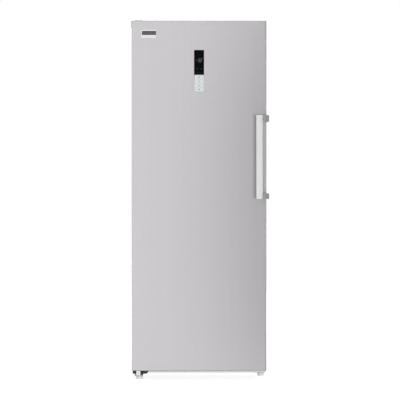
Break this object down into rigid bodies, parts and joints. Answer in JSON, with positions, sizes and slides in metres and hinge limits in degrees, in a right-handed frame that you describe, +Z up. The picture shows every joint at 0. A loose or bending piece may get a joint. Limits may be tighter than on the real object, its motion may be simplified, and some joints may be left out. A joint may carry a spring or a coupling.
{
  "type": "upright freezer",
  "caption": "Tall upright freezer with a brushed metal door, bar handle, display with push keys, clear drawers, fan-cooled evaporator, rear condenser and compressor.",
  "frame": {"origin": "on the floor, at the middle of the whole freezer's footprint, handle and condenser included", "axes": "+X to the right seen from the front, +Y from the door to the back, +Z up"},
  "size_m": [0.611, 0.693, 1.611],
  "materials": {
    "brushed_door": "satin",
    "cabinet_paint": "satin",
    "galvanised": "satin",
    "rail_paint": "satin",
    "foam": "matte",
    "liner": "satin",
    "shelf_glass": "gloss",
    "shelf_trim": "satin",
    "drawer_clear": "satin",
    "evaporator_metal": "satin",
    "heater_sheath": "satin",
    "grey_plastic": "satin",
    "white_plastic": "satin",
    "black_plastic": "satin",
    "roller_plastic": "satin",
    "foot_plastic": "satin",
    "lamp_clear": "gloss",
    "black_enamel": "gloss",
    "black_steel": "satin",
    "copper": "satin",
    "grommet_rubber": "matte",
    "seal_rubber": "matte",
    "screw_steel": "satin",
    "housing_plastic": "satin",
    "window_glass": "gloss",
    "board": "satin",
    "key_plastic": "satin",
    "badge_plate": "satin",
    "handle_metal": "satin",
    "bracket_metal": "satin"
  },
  "bodies": {
    "cabinet": {"cabinet_shell": "cabinet_paint", "back_panel": "galvanised", "machine_room_panel": "galvanised", "cabinet_foam": "foam", "inner_liner": "liner", "glass_shelves": "shelf_glass", "shelf_trims": "shelf_trim", "evaporator_cover": "liner", "evaporator": "evaporator_metal", "defrost_heater": "heater_sheath", "drain_tray": "evaporator_metal", "drain_pipe": "black_plastic", "fan_motor": "black_plastic", "lamp_cover": "lamp_clear", "base_rails": "rail_paint", "compressor": "black_enamel", "compressor_grommets": "grommet_rubber", "relay_box": "black_plastic", "drip_tray": "black_plastic", "filter_drier": "copper", "refrigerant_pipes": "copper", "condenser_coil": "black_enamel", "condenser_wires": "black_enamel", "condenser_clips": "black_plastic", "mains_gland": "black_plastic", "leg_brackets": "black_steel", "upper_hinge_bracket": "rail_paint", "upper_hinge_cover": "grey_plastic", "lower_hinge_bracket": "black_steel", "closing_cam": "white_plastic", "cabinet_screws": "screw_steel"},
    "door": {"door_skin": "brushed_door", "door_top_cap": "grey_plastic", "door_bottom_cap": "grey_plastic", "door_foam": "foam", "door_liner": "liner", "door_gasket": "seal_rubber", "door_bushes": "white_plastic", "panel_housing": "housing_plastic", "display_window": "window_glass", "display_board": "board", "badge": "badge_plate", "handle_bar": "handle_metal", "handle_brackets": "bracket_metal", "handle_screws": "screw_steel"},
    "fan": {"fan_blade": "white_plastic"},
    "roller_left": {"roller_left": "roller_plastic"},
    "roller_right": {"roller_right": "roller_plastic"},
    "foot_left": {"foot_left": "foot_plastic"},
    "foot_right": {"foot_right": "foot_plastic"},
    "drawer_1": {"drawer_1": "drawer_clear"},
    "drawer_2": {"drawer_2": "drawer_clear"},
    "drawer_3": {"drawer_3": "drawer_clear"},
    "drawer_4": {"drawer_4": "drawer_clear"},
    "drawer_5": {"drawer_5": "drawer_clear"},
    "drawer_6": {"drawer_6": "drawer_clear"},
    "key_1": {"key_1": "key_plastic"},
    "key_2": {"key_2": "key_plastic"},
    "key_3": {"key_3": "key_plastic"},
    "key_4": {"key_4": "key_plastic"}
  },
  "joints": [
    {"name": "door_swing", "type": "hinge", "parent": "cabinet", "child": "door", "pos_m": [-0.2755, -0.27055, 0.042], "axis": [0, 0, -1], "range_deg": [0, 130]},
    {"name": "drawer_1_slide", "type": "slide", "parent": "cabinet", "child": "drawer_1", "axis": [0, -1, 0], "range_m": [0, 0.18]},
    {"name": "drawer_2_slide", "type": "slide", "parent": "cabinet", "child": "drawer_2", "axis": [0, -1, 0], "range_m": [0, 0.3]},
    {"name": "drawer_3_slide", "type": "slide", "parent": "cabinet", "child": "drawer_3", "axis": [0, -1, 0], "range_m": [0, 0.3]},
    {"name": "drawer_4_slide", "type": "slide", "parent": "cabinet", "child": "drawer_4", "axis": [0, -1, 0], "range_m": [0, 0.3]},
    {"name": "drawer_5_slide", "type": "slide", "parent": "cabinet", "child": "drawer_5", "axis": [0, -1, 0], "range_m": [0, 0.3]},
    {"name": "drawer_6_slide", "type": "slide", "parent": "cabinet", "child": "drawer_6", "axis": [0, -1, 0], "range_m": [0, 0.3]},
    {"name": "key_1_push", "type": "slide", "parent": "door", "child": "key_1", "axis": [0, 1, 0], "range_m": [0, 0.0008], "stiffness_N_per_m": 400, "springref_m": -0.0005},
    {"name": "key_2_push", "type": "slide", "parent": "door", "child": "key_2", "axis": [0, 1, 0], "range_m": [0, 0.0008], "stiffness_N_per_m": 400, "springref_m": -0.0005},
    {"name": "key_3_push", "type": "slide", "parent": "door", "child": "key_3", "axis": [0, 1, 0], "range_m": [0, 0.0008], "stiffness_N_per_m": 400, "springref_m": -0.0005},
    {"name": "key_4_push", "type": "slide", "parent": "door", "child": "key_4", "axis": [0, 1, 0], "range_m": [0, 0.0008], "stiffness_N_per_m": 400, "springref_m": -0.0005},
    {"name": "fan_spin", "type": "hinge", "parent": "cabinet", "child": "fan", "pos_m": [-0.0035, 0.22245, 0.76], "axis": [0, 1, 0], "continuous": true},
    {"name": "roller_left_spin", "type": "hinge", "parent": "cabinet", "child": "roller_left", "pos_m": [-0.2585, 0.27645, 0.0125], "axis": [1, 0, 0], "continuous": true},
    {"name": "roller_right_spin", "type": "hinge", "parent": "cabinet", "child": "roller_right", "pos_m": [0.2515, 0.27645, 0.0125], "axis": [1, 0, 0], "continuous": true},
    {"name": "foot_left_turn", "type": "hinge", "parent": "cabinet", "child": "foot_left", "pos_m": [-0.2705, -0.25655, 0], "axis": [0, 0, 1], "continuous": true},
    {"name": "foot_right_turn", "type": "hinge", "parent": "cabinet", "child": "foot_right", "pos_m": [0.2785, -0.17955, 0], "axis": [0, 0, 1], "continuous": true}
  ],
  "couplings": [
    {"joint": "drawer_1_slide", "follows": "door_swing", "m_per_rad": 0.07},
    {"joint": "drawer_2_slide", "follows": "door_swing", "m_per_rad": 0.07},
    {"joint": "drawer_3_slide", "follows": "door_swing", "m_per_rad": 0.07},
    {"joint": "drawer_4_slide", "follows": "door_swing", "m_per_rad": 0.07},
    {"joint": "drawer_5_slide", "follows": "door_swing", "m_per_rad": 0.07},
    {"joint": "drawer_6_slide", "follows": "door_swing", "m_per_rad": 0.07}
  ]
}
